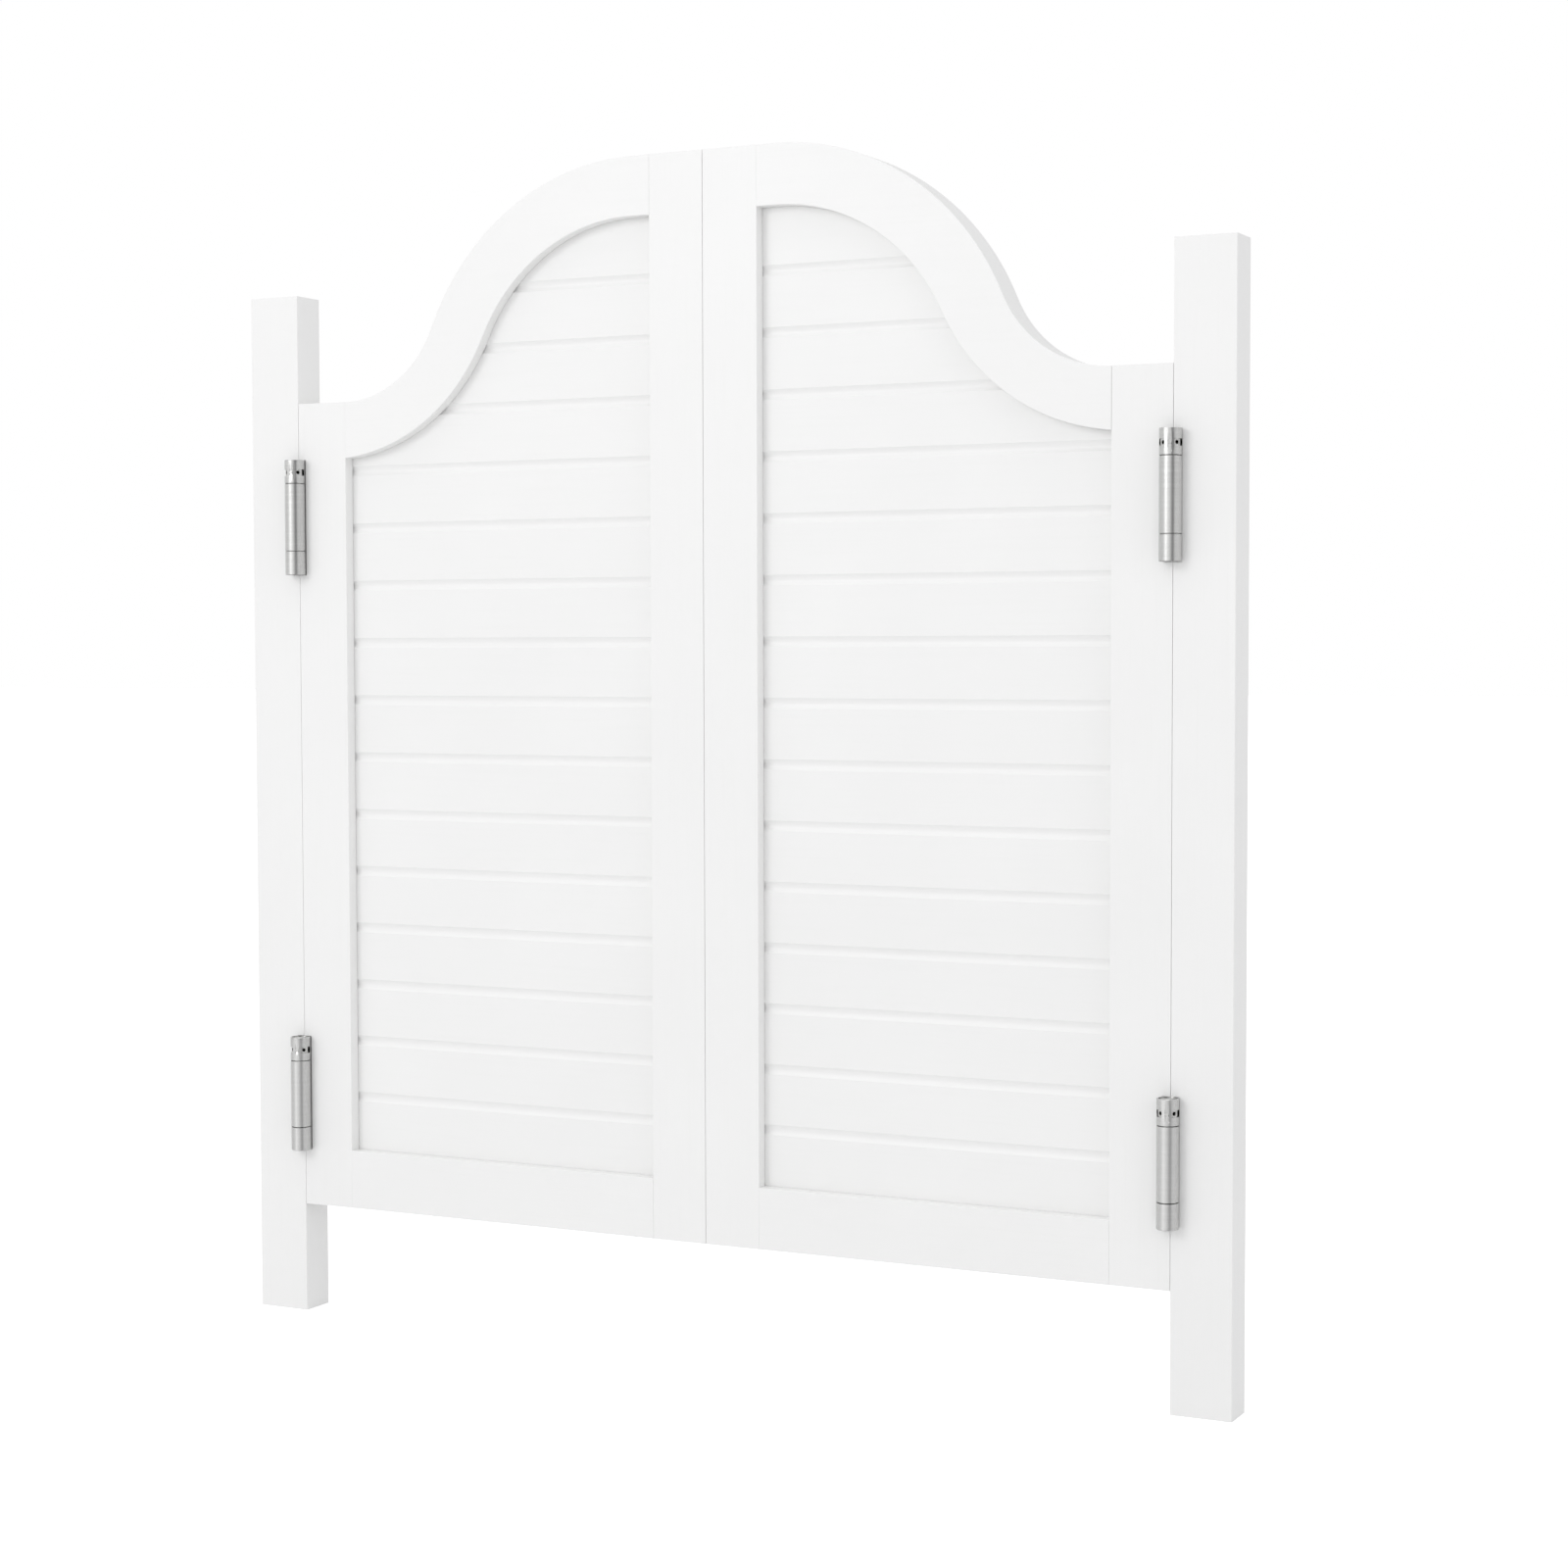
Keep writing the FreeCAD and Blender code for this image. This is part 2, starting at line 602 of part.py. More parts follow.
top_rail = new_body("left_top_rail")
rail_outline = new_sketch(top_rail, "TopRailOutline", "XZ_Plane")
add_band(rail_outline, INNER_SWEEP, OUTER_SWEEP, OPENING_NEAR, OPENING_FAR)
add_pad(top_rail, rail_outline, "Sizes.frame_depth", centred=True)
add_fillet(top_rail, "TopRailArrises", "Sizes.arris_radius", is_face_edge)
rail_groove = new_sketch(top_rail, "TopRailGroove", "XZ_Plane")
add_band(rail_groove, raised_sweep(INNER_SWEEP, "(-1 * " + GROOVE_DEPTH + ")"),
         raised_sweep(INNER_SWEEP, GROOVE_DEPTH), OPENING_NEAR, OPENING_FAR)
add_pocket(top_rail, rail_groove, GROOVE_WIDTH, centred=True)
add_dowel_holes(top_rail, "TopRailNearDowelHoles", OPENING_NEAR, 1,
                dowel_pair("Sizes.leaf_low_top", -1))
add_dowel_holes(top_rail, "TopRailFarDowelHoles", OPENING_FAR, -1,
                dowel_pair("Sizes.leaf_high_top", -1))
keep_both_sides(top_rail, "top_rail")

bottom_rail = new_body("left_bottom_rail")
rail_face = new_sketch(bottom_rail, "BottomRailFace", "XZ_Plane")
add_rectangle(rail_face, OPENING_NEAR, OPENING_FAR, "Sizes.leaf_bottom", OPENING_BOTTOM)
add_pad(bottom_rail, rail_face, "Sizes.frame_depth", centred=True)
add_fillet(bottom_rail, "BottomRailArrises", "Sizes.arris_radius", is_face_edge)
bottom_groove = new_sketch(bottom_rail, "BottomRailGroove", "XZ_Plane")
add_rectangle(bottom_groove, OPENING_NEAR, OPENING_FAR, OPENING_BOTTOM + " - " + GROOVE_DEPTH,
              OPENING_BOTTOM + " + " + GROOVE_DEPTH)
add_pocket(bottom_rail, bottom_groove, GROOVE_WIDTH, centred=True)
add_dowel_holes(bottom_rail, "BottomRailNearDowelHoles", OPENING_NEAR, 1,
                dowel_pair("Sizes.leaf_bottom", 1))
add_dowel_holes(bottom_rail, "BottomRailFarDowelHoles", OPENING_FAR, -1,
                dowel_pair("Sizes.leaf_bottom", 1))
keep_both_sides(bottom_rail, "bottom_rail")


# ---------------------------------------------------------------- boards
# The lowest board stands on the floor of the bottom rail's groove and each other board stands
# on the one below. The ends and the top have room to swell.
BOARD_NEAR = "(" + OPENING_NEAR + " - Sizes.board_seat)"
BOARD_FAR = "(" + OPENING_FAR + " + Sizes.board_seat)"
BOARD_TOP = "(" + OPENING_HIGH_TOP + " + Sizes.board_seat)"
FIRST_JOINT = "(" + OPENING_BOTTOM + " + Sizes.bottom_board_width)"
SHOULDER_JOINT = "(" + OPENING_LOW_TOP + " - Sizes.shoulder_joint_drop)"
LAST_JOINT = "(" + OPENING_HIGH_TOP + " - Sizes.top_board_width)"
LOWER_COVER = "((%s - %s) / (Sizes.lower_board_count - 1))" % (SHOULDER_JOINT, FIRST_JOINT)
UPPER_COVER = "((%s - %s) / (Sizes.upper_board_count - 1))" % (LAST_JOINT, SHOULDER_JOINT)
BOARD_SWEEP = raised_sweep(INNER_SWEEP, "Sizes.board_seat")
COVE_RADIUS = ("((Sizes.cove_half_width * Sizes.cove_half_width"
               " + Sizes.cove_depth * Sizes.cove_depth) / (2 * Sizes.cove_depth))")
COVE_CENTRE = "(Sizes.board_thickness / 2 - Sizes.cove_depth + " + COVE_RADIUS + ")"

lower_boards = int(value("Sizes.lower_board_count"))
board_count = lower_boards + int(value("Sizes.upper_board_count"))


def joint_above(number):
    """Height of the joint above a board, numbered from 1 at the bottom.

    The boards below the shoulder of the top rail share out the height up to it, and those
    above share out the rest.
    """
    if number <= lower_boards:
        return "(%s + (%d) * %s)" % (FIRST_JOINT, number - 1, LOWER_COVER)
    return "(%s + (%d) * %s)" % (SHOULDER_JOINT, number - lower_boards, UPPER_COVER)


def board_section(lower, upper, grooved, tongued):
    """Corners of a board's cross-section."""
    face = "(Sizes.board_thickness / 2)"
    tongue = "(Sizes.tongue_thickness / 2)"
    slot = "(Sizes.tongue_thickness / 2 + Sizes.tongue_play)"
    if grooved:
        right_half = [(slot, lower + " + Sizes.tongue_length + Sizes.tongue_play"),
                      (slot, lower), (face, lower)]
    else:
        right_half = [(face, lower)]
    if tongued:
        right_half += [(face, upper), (tongue, upper),
                       (tongue, upper + " + Sizes.tongue_length")]
    else:
        right_half += [(face, upper)]
    return right_half + [("-" + across, up) for across, up in reversed(right_half)]


def cut_coves(board, name, joints):
    """Half of the shallow cove that runs along each joint, on both faces."""
    coves = new_sketch(board, name, "YZ_Plane", BOARD_NEAR)
    for joint in joints:
        add_circle(coves, COVE_CENTRE, joint, COVE_RADIUS)
        add_circle(coves, "-" + COVE_CENTRE, joint, COVE_RADIUS)
    add_pocket(board, coves, "2 * (" + BOARD_FAR + " - " + BOARD_NEAR + ")", centred=True)


def scribe_to_rail(board, name):
    """Cut a board's top along the floor line of the top rail's groove."""
    scribe = new_sketch(board, name, "XZ_Plane")
    near = "(" + BOARD_NEAR + " - Sizes.board_end_play)"
    far = "(" + BOARD_FAR + " + Sizes.board_end_play)"
    clear = "(" + BOARD_TOP + " + Sizes.top_board_width)"
    first, last = add_sweep(scribe, BOARD_SWEEP, near, far)
    near_corner = FreeCAD.Vector(value(near), value(clear), 0)
    far_corner = FreeCAD.Vector(value(far), value(clear), 0)
    line = scribe.GeometryCount
    scribe.addGeometry([
        Part.LineSegment(end_point(scribe, first, 1), near_corner),
        Part.LineSegment(near_corner, far_corner),
        Part.LineSegment(far_corner, end_point(scribe, last, 2)),
    ], False)
    bind(scribe, [
        (Sketcher.Constraint("Coincident", line, 1, first, 1), None),
        (Sketcher.Constraint("Coincident", line, 2, line + 1, 1), None),
        (Sketcher.Constraint("Coincident", line + 1, 2, line + 2, 1), None),
        (Sketcher.Constraint("Coincident", line + 2, 2, last, 2), None),
        (Sketcher.Constraint("Vertical", line), None),
        (Sketcher.Constraint("Horizontal", line + 1), None),
        (Sketcher.Constraint("Vertical", line + 2), None),
        (Sketcher.Constraint("DistanceY", -1, 1, line + 1, 1, value(clear)), clear),
    ])
    add_pocket(board, scribe, "2 * Sizes.frame_depth", centred=True)


def make_board(number):
    """Board with a groove in its lower edge and a tongue on its upper edge."""
    name = "board_%02d" % number
    board = new_body("left_" + name)
    is_lowest, is_highest = number == 1, number == board_count
    lower = "(" + OPENING_BOTTOM + " - " + GROOVE_DEPTH + ")"
    if not is_lowest:
        lower = joint_above(number - 1)
    upper = BOARD_TOP if is_highest else joint_above(number)
    section = new_sketch(board, name + "Section", "YZ_Plane", BOARD_NEAR)
    add_polygon(section, board_section(lower, upper, not is_lowest, not is_highest))
    add_pad(board, section, "(" + BOARD_FAR + " - " + BOARD_NEAR + ")")
    joints = ([] if is_lowest else [lower]) + ([] if is_highest else [upper])
    cut_coves(board, name + "Coves", joints)
    if value(upper + " + Sizes.tongue_length") > value(BOARD_SWEEP["low_z"]):
        scribe_to_rail(board, name + "Scribe")
    keep_both_sides(board, name)


for board_number in range(1, board_count + 1):
    make_board(board_number)

# ---------------------------------------------------------------- dowels
dowel = new_body("dowel")
dowel_section = new_sketch(dowel, "DowelSection", "XY_Plane")
add_circle(dowel_section, "0", "0", "Sizes.dowel_diameter / 2")
add_pad(dowel, dowel_section, "Sizes.dowel_length", centred=True)
add_chamfer(dowel, "DowelLeadIn", "Sizes.dowel_chamfer", lambda edge: edge.isClosed())

LYING_IN_X = FreeCAD.Rotation(Y_AXIS, 90)
DOWEL_PLACES = [
    FreeCAD.Placement(FreeCAD.Vector(value(edge_x), 0, value(height)), LYING_IN_X)
    for edge_x, heights in ((OPENING_NEAR, HINGE_STILE_DOWELS), (OPENING_FAR, LOCK_STILE_DOWELS))
    for height in heights]


# ---------------------------------------------------------------- hinge pieces
# A barrel's pieces are modelled from the foot of the barrel's axis. The plate of a hinge leaf
# lies on the -X side of the hinge line and runs towards +Y, as it does on the front barrel.
def new_turned_sketch(body, name, angle):
    """Sketch on the plane through the barrel's axis, faced from -Y towards +X by an angle."""
    sketch = new_sketch(body, name, "XZ_Plane")
    sketch.AttachmentOffset = FreeCAD.Placement(ORIGIN, FreeCAD.Rotation(Y_AXIS, value(angle)))
    sketch.setExpression("AttachmentOffset.Rotation.Angle", angle)
    return sketch


def is_rim(edge):
    """True for a full circle of the barrel's size."""
    return (edge.Curve.TypeId == "Part::GeomCircle" and edge.isClosed()
            and abs(edge.Curve.Radius - value(BARREL_RADIUS)) < 1e-4)


def knuckle_section(lower, upper):
    """Corners of a knuckle's wall with its outer edges broken."""
    inset = BARREL_RADIUS + " - Sizes.barrel_edge_break"
    return [(BARREL_BORE, lower), (inset, lower),
            (BARREL_RADIUS, lower + " + Sizes.barrel_edge_break"),
            (BARREL_RADIUS, upper + " - Sizes.barrel_edge_break"),
            (inset, upper), (BARREL_BORE, upper)]


def make_hinge_leaf():
    """Leaf with two knuckles, slots that bare the tension collar and countersunk screw holes."""
    leaf = new_body("hinge_leaf")
    lower_knuckle = new_sketch(leaf, "LowerKnuckleSection", "XZ_Plane")
    add_polygon(lower_knuckle, knuckle_section("0", "Sizes.knuckle_height"))
    add_revolution(leaf, lower_knuckle)
    plate = new_sketch(leaf, "PlateSection", "XY_Plane")
    add_rectangle(plate, "-" + PLATE_BACK, "-" + PLATE_FACE,
                  BARREL_RADIUS + " - Sizes.barrel_wall / 2", PLATE_END)
    add_pad(leaf, plate, "Sizes.hinge_height")
    upper_knuckle = new_sketch(leaf, "UpperKnuckleSection", "XZ_Plane")
    add_polygon(upper_knuckle, knuckle_section(UPPER_KNUCKLE, "Sizes.hinge_height"))
    add_revolution(leaf, upper_knuckle)
    sleeve_room = new_sketch(leaf, "SleeveRoom", "XY_Plane", "Sizes.knuckle_height")
    add_circle(sleeve_room, "0", "0", BARREL_ROOM)
    add_pocket(leaf, sleeve_room, UPPER_KNUCKLE + " - Sizes.knuckle_height", reverse=True)

    slot = new_turned_sketch(leaf, "Slot", "Sizes.slot_first_angle")
    add_rectangle(slot, "-Sizes.slot_width / 2", "Sizes.slot_width / 2",
                  SLOT_MIDDLE + " - Sizes.slot_height / 2",
                  SLOT_MIDDLE + " + Sizes.slot_height / 2")
    first_slot = add_pocket(leaf, slot, "Sizes.barrel_diameter", reverse=True)
    add_polar_pattern(leaf, "SlotRow", [first_slot],
                      "Sizes.slot_spacing * (Sizes.slot_count - 1)", "Sizes.slot_count")
    pin_hole = new_turned_sketch(leaf, "StopPinHole", "Sizes.stop_pin_angle")
    add_circle(pin_hole, "0", SLOT_MIDDLE, STOP_PIN_HOLE)
    add_pocket(leaf, pin_hole, "Sizes.barrel_diameter", reverse=True)

    holes = new_sketch(leaf, "ScrewHoles", "YZ_Plane", "-" + PLATE_FACE)
    for across, up in screw_positions():
        add_circle(holes, across + " + " + BARREL_STAND, up, SCREW_HOLE)
    add_pocket(leaf, holes, "Sizes.leaf_plate_thickness")

    def is_hole_mouth(edge):
        return (edge.Curve.TypeId == "Part::GeomCircle" and edge.BoundBox.XLength < 1e-4
                and abs(edge.BoundBox.XMin + value(PLATE_FACE)) < 1e-4)

    add_chamfer(leaf, "Countersinks",
                "(Sizes.screw_head_diameter - Sizes.screw_shank_diameter) / 2", is_hole_mouth)
    return leaf


def make_barrel_pin():
    """Pin with a plug for the lower knuckle, a journal for the sleeve and a thin spindle."""
    pin = new_body("barrel_pin")
    section = new_sketch(pin, "PinSection", "XZ_Plane")
    tip = "(Sizes.hinge_height - 2 * Sizes.rim_depth)"
    add_polygon(section, [
        ("0", "2 * Sizes.rim_depth"), (DISH_RADIUS, "Sizes.rim_depth"),
        (JOURNAL_RADIUS, "Sizes.rim_depth"), (JOURNAL_RADIUS, JOURNAL_TOP),
        (SPINDLE_RADIUS, JOURNAL_TOP), (SPINDLE_RADIUS, tip), ("0", tip),
    ])
    add_revolution(pin, section)
    return pin


def make_tension_collar():
    """Collar in the upper knuckle, with a dished top and blind holes round it."""
    collar = new_body("tension_collar")
    top = "(Sizes.hinge_height - Sizes.rim_depth)"
    core = "(" + STOP_PIN_START + " - Sizes.stop_pin_diameter / 10)"
    rim = new_sketch(collar, "CollarRimSection", "XZ_Plane")
    add_rectangle(rim, core, JOURNAL_RADIUS, COLLAR_BOTTOM, top)
    add_revolution(collar, rim)
    hole = new_turned_sketch(collar, "RimHole", "Sizes.stop_pin_angle")
    add_circle(hole, "0", SLOT_MIDDLE, STOP_PIN_HOLE)
    first_hole = add_pocket(collar, hole, "Sizes.barrel_diameter", reverse=True)
    add_polar_pattern(collar, "RimHoles", [first_hole],
                      "360 - 360 / Sizes.collar_hole_count", "Sizes.collar_hole_count")
    filling = new_sketch(collar, "CollarCoreSection", "XZ_Plane")
    bore = "(" + SPINDLE_RADIUS + " + Sizes.running_clearance)"
    add_polygon(filling, [
        (bore, COLLAR_BOTTOM), (core, COLLAR_BOTTOM), (core, top), (bore, top + " - Sizes.rim_depth"),
    ])
    add_revolution(collar, filling)
    return collar


def make_centre_plate():
    """Plate between the two leaves of a hinge, with a sleeve for each barrel at its edges."""
    plate = new_body("centre_plate")
    half = "(Sizes.centre_plate_thickness / 2)"
    flange = new_sketch(plate, "FlangeSection", "XY_Plane")
    clear_of_barrels = "(" + BARREL_STAND + " - " + BARREL_ROOM + ")"
    add_rectangle(flange, "-" + half, half, "-" + clear_of_barrels, clear_of_barrels)
    add_pad(plate, flange, "Sizes.hinge_height")
    web = new_sketch(plate, "WebSection", "XY_Plane",
                     SLEEVE_BOTTOM + " + 2 * Sizes.barrel_edge_break")
    add_rectangle(web, "-" + half, half, "-" + BARREL_STAND, BARREL_STAND)
    add_pad(plate, web, SLEEVE_TOP + " - " + SLEEVE_BOTTOM + " - 4 * Sizes.barrel_edge_break")
    sleeves = new_sketch(plate, "SleeveSections", "XY_Plane", SLEEVE_BOTTOM)
    add_circle(sleeves, "0", BARREL_STAND, BARREL_RADIUS)
    add_circle(sleeves, "0", "-" + BARREL_STAND, BARREL_RADIUS)
    add_pad(plate, sleeves, SLEEVE_TOP + " - " + SLEEVE_BOTTOM)
    add_chamfer(plate, "SleeveEdges", "Sizes.barrel_edge_break", is_rim)
    bores = new_sketch(plate, "SleeveBores", "XY_Plane", SLEEVE_BOTTOM)
    add_circle(bores, "0", BARREL_STAND, BARREL_BORE)
    add_circle(bores, "0", "-" + BARREL_STAND, BARREL_BORE)
    add_pocket(plate, bores, SLEEVE_TOP + " - " + SLEEVE_BOTTOM, reverse=True)
    return plate


def make_screw():
    """Countersunk wood screw, head up at the origin, with a cross recess."""
    screw = new_body("leaf_screw")
    section = new_sketch(screw, "ScrewSection", "XZ_Plane")
    head = "(Sizes.screw_head_diameter / 2)"
    shank = "(Sizes.screw_shank_diameter / 2)"
    add_polygon(section, [
        ("0", "-Sizes.screw_length"), (shank, "Sizes.screw_tip_length - Sizes.screw_length"),
        (shank, shank + " - " + head + " - Sizes.screw_play"),
        (head, "-Sizes.screw_play"), ("0", "-Sizes.screw_play"),
    ])
    add_revolution(screw, section)
    arm = "(Sizes.recess_length / 2)"
    side = "(Sizes.recess_width / 2)"
    for name, half_x, half_y in (("RecessAcross", arm, side), ("RecessAlong", side, arm)):
        recess = new_sketch(screw, name, "XY_Plane")
        add_rectangle(recess, "-" + half_x, half_x, "-" + half_y, half_y)
        add_pocket(screw, recess, "Sizes.recess_depth")
    return screw


hinge_leaf = make_hinge_leaf()
barrel_pin = make_barrel_pin()
tension_collar = make_tension_collar()
centre_plate = make_centre_plate()
leaf_screw = make_screw()

# Stop pin, from its seat in the collar to the outside of the upper knuckle.
stop_pin = doc.addObject("Part::Cylinder", "stop_pin")
stop_pin.setExpression("Radius", "Sizes.stop_pin_diameter / 2")
stop_pin.setExpression("Height", BARREL_RADIUS + " - " + STOP_PIN_START)
STOP_PIN_TURN = FreeCAD.Rotation(Z_AXIS, value("Sizes.stop_pin_angle"))
STOP_PIN_PLACE = FreeCAD.Placement(
    STOP_PIN_TURN.multVec(FreeCAD.Vector(0, -value(STOP_PIN_START), value(SLOT_MIDDLE))),
    STOP_PIN_TURN.multiply(FreeCAD.Rotation(X_AXIS, 90)))

# Torsion spring round the spindle, between the journals of pin and collar.
SPRING_RADIUS = "(" + BARREL_BORE + " - Sizes.spring_clearance - Sizes.spring_wire / 2)"
SPRING_BOTTOM = "(" + JOURNAL_TOP + " + Sizes.spring_end_gap + Sizes.spring_wire / 2)"
SPRING_TOP = "(" + COLLAR_BOTTOM + " - Sizes.spring_end_gap - Sizes.spring_wire / 2)"
coil = doc.addObject("Part::Helix", "spring_coil")
coil.setExpression("Pitch", "Sizes.spring_pitch")
coil.setExpression("Height", SPRING_TOP + " - " + SPRING_BOTTOM)
coil.setExpression("Radius", SPRING_RADIUS)
wire_section = doc.addObject("Part::Circle", "spring_wire_section")
wire_section.setExpression("Radius", "Sizes.spring_wire / 2")
wire_section.Placement = FreeCAD.Placement(
    FreeCAD.Vector(value(SPRING_RADIUS), 0, 0), FreeCAD.Rotation(X_AXIS, 90))
hinge_spring = doc.addObject("Part::Sweep", "hinge_spring")
hinge_spring.Sections = [wire_section]
hinge_spring.Spine = (coil, [])
hinge_spring.Solid = True
hinge_spring.Frenet = True
doc.recompute()

# ---------------------------------------------------------------- placing the hinge pieces
HINGE_FEET = [upward(LOWER_HINGE), upward(UPPER_HINGE)]
FRONT_BARREL = FreeCAD.Placement(FreeCAD.Vector(0, -value(BARREL_STAND), 0), FreeCAD.Rotation())


def barrel_places(side, back):
    """Placement of each front barrel of a side, or of each back barrel."""
    turn = HALF_TURN if back else FreeCAD.Placement()
    return [side.multiply(foot).multiply(turn).multiply(FRONT_BARREL) for foot in HINGE_FEET]


def screw_places(barrels):
    """Screws in the plate of the hinge leaf at each of the barrels, heads at the plate's face."""
    places = []
    for barrel in barrels:
        for across, up in screw_positions():
            head = FreeCAD.Vector(-value(PLATE_FACE), value(across + " + " + BARREL_STAND),
                                  value(up))
            places.append(barrel.multiply(FreeCAD.Placement(head, LYING_IN_X)))
    return places


def place_barrel_sets(prefix, barrels):
    """Hinge leaves, their screws, pins and collars with stop pins for a list of barrels."""
    group_of_copies(prefix + "_hinge_leaves", [(hinge_leaf, place) for place in barrels])
    group_of_copies(prefix + "_leaf_screws",
                    [(leaf_screw, place) for place in screw_places(barrels)])
    group_of_copies(prefix + "_barrel_pins", [(barrel_pin, place) for place in barrels])
    collars = [(tension_collar, place) for place in barrels]
    pins = [(stop_pin, place.multiply(STOP_PIN_PLACE)) for place in barrels]
    group_of_copies(prefix + "_tension_collars", collars + pins)


place_barrel_sets("jamb", barrel_places(LEFT_SIDE, False) + barrel_places(RIGHT_SIDE, False))
for side_name, side_place in (("left", LEFT_SIDE), ("right", RIGHT_SIDE)):
    place_barrel_sets(side_name + "_door", barrel_places(side_place, True))
    group_of_copies(side_name + "_centre_plates",
                    [(centre_plate, side_place.multiply(foot)) for foot in HINGE_FEET])
    all_barrels = barrel_places(side_place, False) + barrel_places(side_place, True)
    group_of_copies(side_name + "_hinge_springs",
                    [(hinge_spring, place.multiply(upward(SPRING_BOTTOM)))
                     for place in all_barrels])
    group_of_copies(side_name + "_frame_dowels",
                    [(dowel, side_place.multiply(place)) for place in DOWEL_PLACES])
doc.recompute()

# ---------------------------------------------------------------- check and write
for item in doc.Objects:
    if "Invalid" in item.State or "Error" in item.State:
        raise RuntimeError(item.Label + " did not compute")
for name, part in parts.items():
    if part.Shape.isNull() or not part.Shape.isValid():
        raise RuntimeError(name + " has no valid shape")

os.makedirs("parts", exist_ok=True)
for name, part in parts.items():
    part.Shape.exportStep("parts/" + name + ".step")
    print("%-28s %2d solid(s) %12.1f mm3" % (name, len(part.Shape.Solids), part.Shape.Volume))
print(len(parts), "parts")
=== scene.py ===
import json
import math

import bpy
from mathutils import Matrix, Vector


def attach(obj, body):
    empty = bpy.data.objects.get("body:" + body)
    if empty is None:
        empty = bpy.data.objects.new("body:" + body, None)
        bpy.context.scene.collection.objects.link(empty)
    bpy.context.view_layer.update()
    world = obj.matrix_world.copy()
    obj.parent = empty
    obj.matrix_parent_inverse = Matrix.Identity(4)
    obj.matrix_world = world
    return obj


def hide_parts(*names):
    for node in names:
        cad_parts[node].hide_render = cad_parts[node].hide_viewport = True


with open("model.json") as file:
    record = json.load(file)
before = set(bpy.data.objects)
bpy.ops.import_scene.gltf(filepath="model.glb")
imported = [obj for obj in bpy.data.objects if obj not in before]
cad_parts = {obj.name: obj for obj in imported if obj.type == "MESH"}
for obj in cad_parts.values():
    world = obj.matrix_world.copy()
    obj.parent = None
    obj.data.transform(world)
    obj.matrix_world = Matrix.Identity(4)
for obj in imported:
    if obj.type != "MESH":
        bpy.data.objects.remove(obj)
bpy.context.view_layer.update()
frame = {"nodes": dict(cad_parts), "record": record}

nodes = frame["nodes"]
record = frame["record"]
scene = bpy.context.scene
MM = 0.001

# ---------------------------------------------------------------- materials
# The colour inputs of a Mix node, by number, and the range that noise mostly keeps to.
FIRST_COLOUR = 6
SECOND_COLOUR = 7
NOISE_RANGE = (0.3, 0.7)


def linear(hex_colour):
    """Linear RGBA of an sRGB hex colour."""
    channels = [int(hex_colour[i:i + 2], 16) / 255 for i in (1, 3, 5)]
    return [c / 12.92 if c <= 0.04045 else ((c + 0.055) / 1.055) ** 2.4 for c in channels] + [1]


def set_inputs(tree, node, inputs):
    """Set or link a node's inputs, given by name or number, or as a list in the node's order.

    Each is a value, an sRGB hex colour, a socket, or a node whose first output in use is meant.
    """
    pairs = inputs.items() if isinstance(inputs, dict) else enumerate(inputs)
    for socket, source in pairs:
        if isinstance(source, bpy.types.Node):
            source = next(output for output in source.outputs if output.enabled)
        if isinstance(source, bpy.types.NodeSocket):
            tree.links.new(source, node.inputs[socket])
        elif isinstance(source, str):
            node.inputs[socket].default_value = linear(source)
        else:
            node.inputs[socket].default_value = source


def add_node(tree, kind, inputs=(), **settings):
    """Add a node with its own settings and its inputs.

    The inputs of a Map Range are a number, the range that it crosses and the range it gives.
    """
    node = tree.nodes.new(kind)
    for name, setting in settings.items():
        setattr(node, name, setting)
    set_inputs(tree, node, inputs)
    return node


def start_material(name, uniform_values):
    """New material with its node tree, its shader and its object coordinates."""
    material = bpy.data.materials.new(name)
    material.use_nodes = True
    tree = material.node_tree
    shader = tree.nodes["Principled BSDF"]
    set_inputs(tree, shader, uniform_values)
    where = add_node(tree, "ShaderNodeTexCoord").outputs["Object"]
    return material, tree, shader, where


def stretched_noise(tree, where, sizes_mm, detail, shift=(0, 0, 0)):
    """Noise whose features are about sizes_mm long in X, Y and Z.

    The shift, counted in features, takes it off the pattern that other noises share.
    """
    scale = [1 / (size * MM) for size in sizes_mm]
    mapping = add_node(tree, "ShaderNodeMapping",
                       {"Vector": where, "Location": shift, "Scale": scale})
    return add_node(tree, "ShaderNodeTexNoise",
                    {"Vector": mapping, "Scale": 1.0, "Detail": detail})


def layered_bump(tree, heights_mm):
    """Normal of bumps one on top of the other, from pairs of height factor and depth in mm."""
    normal = None
    for height, depth in heights_mm:
        inputs = {"Height": height, "Distance": depth * MM, "Strength": 1.0}
        if normal is not None:
            inputs["Normal"] = normal
        normal = add_node(tree, "ShaderNodeBump", inputs)
    return normal


# Joint of the right leaf's top rail and hinge stile, from its lower to its upper edge, and how
# the line in its paint thins out sideways and at both ends.
CRACKED_JOINT_X = 0.3572
CRACKED_JOINT_BOTTOM = 0.7627
CRACKED_JOINT_TOP = 0.8127
CRACK_EDGE = (0.07 * MM, 0.12 * MM)
CRACK_FADE = 2 * MM


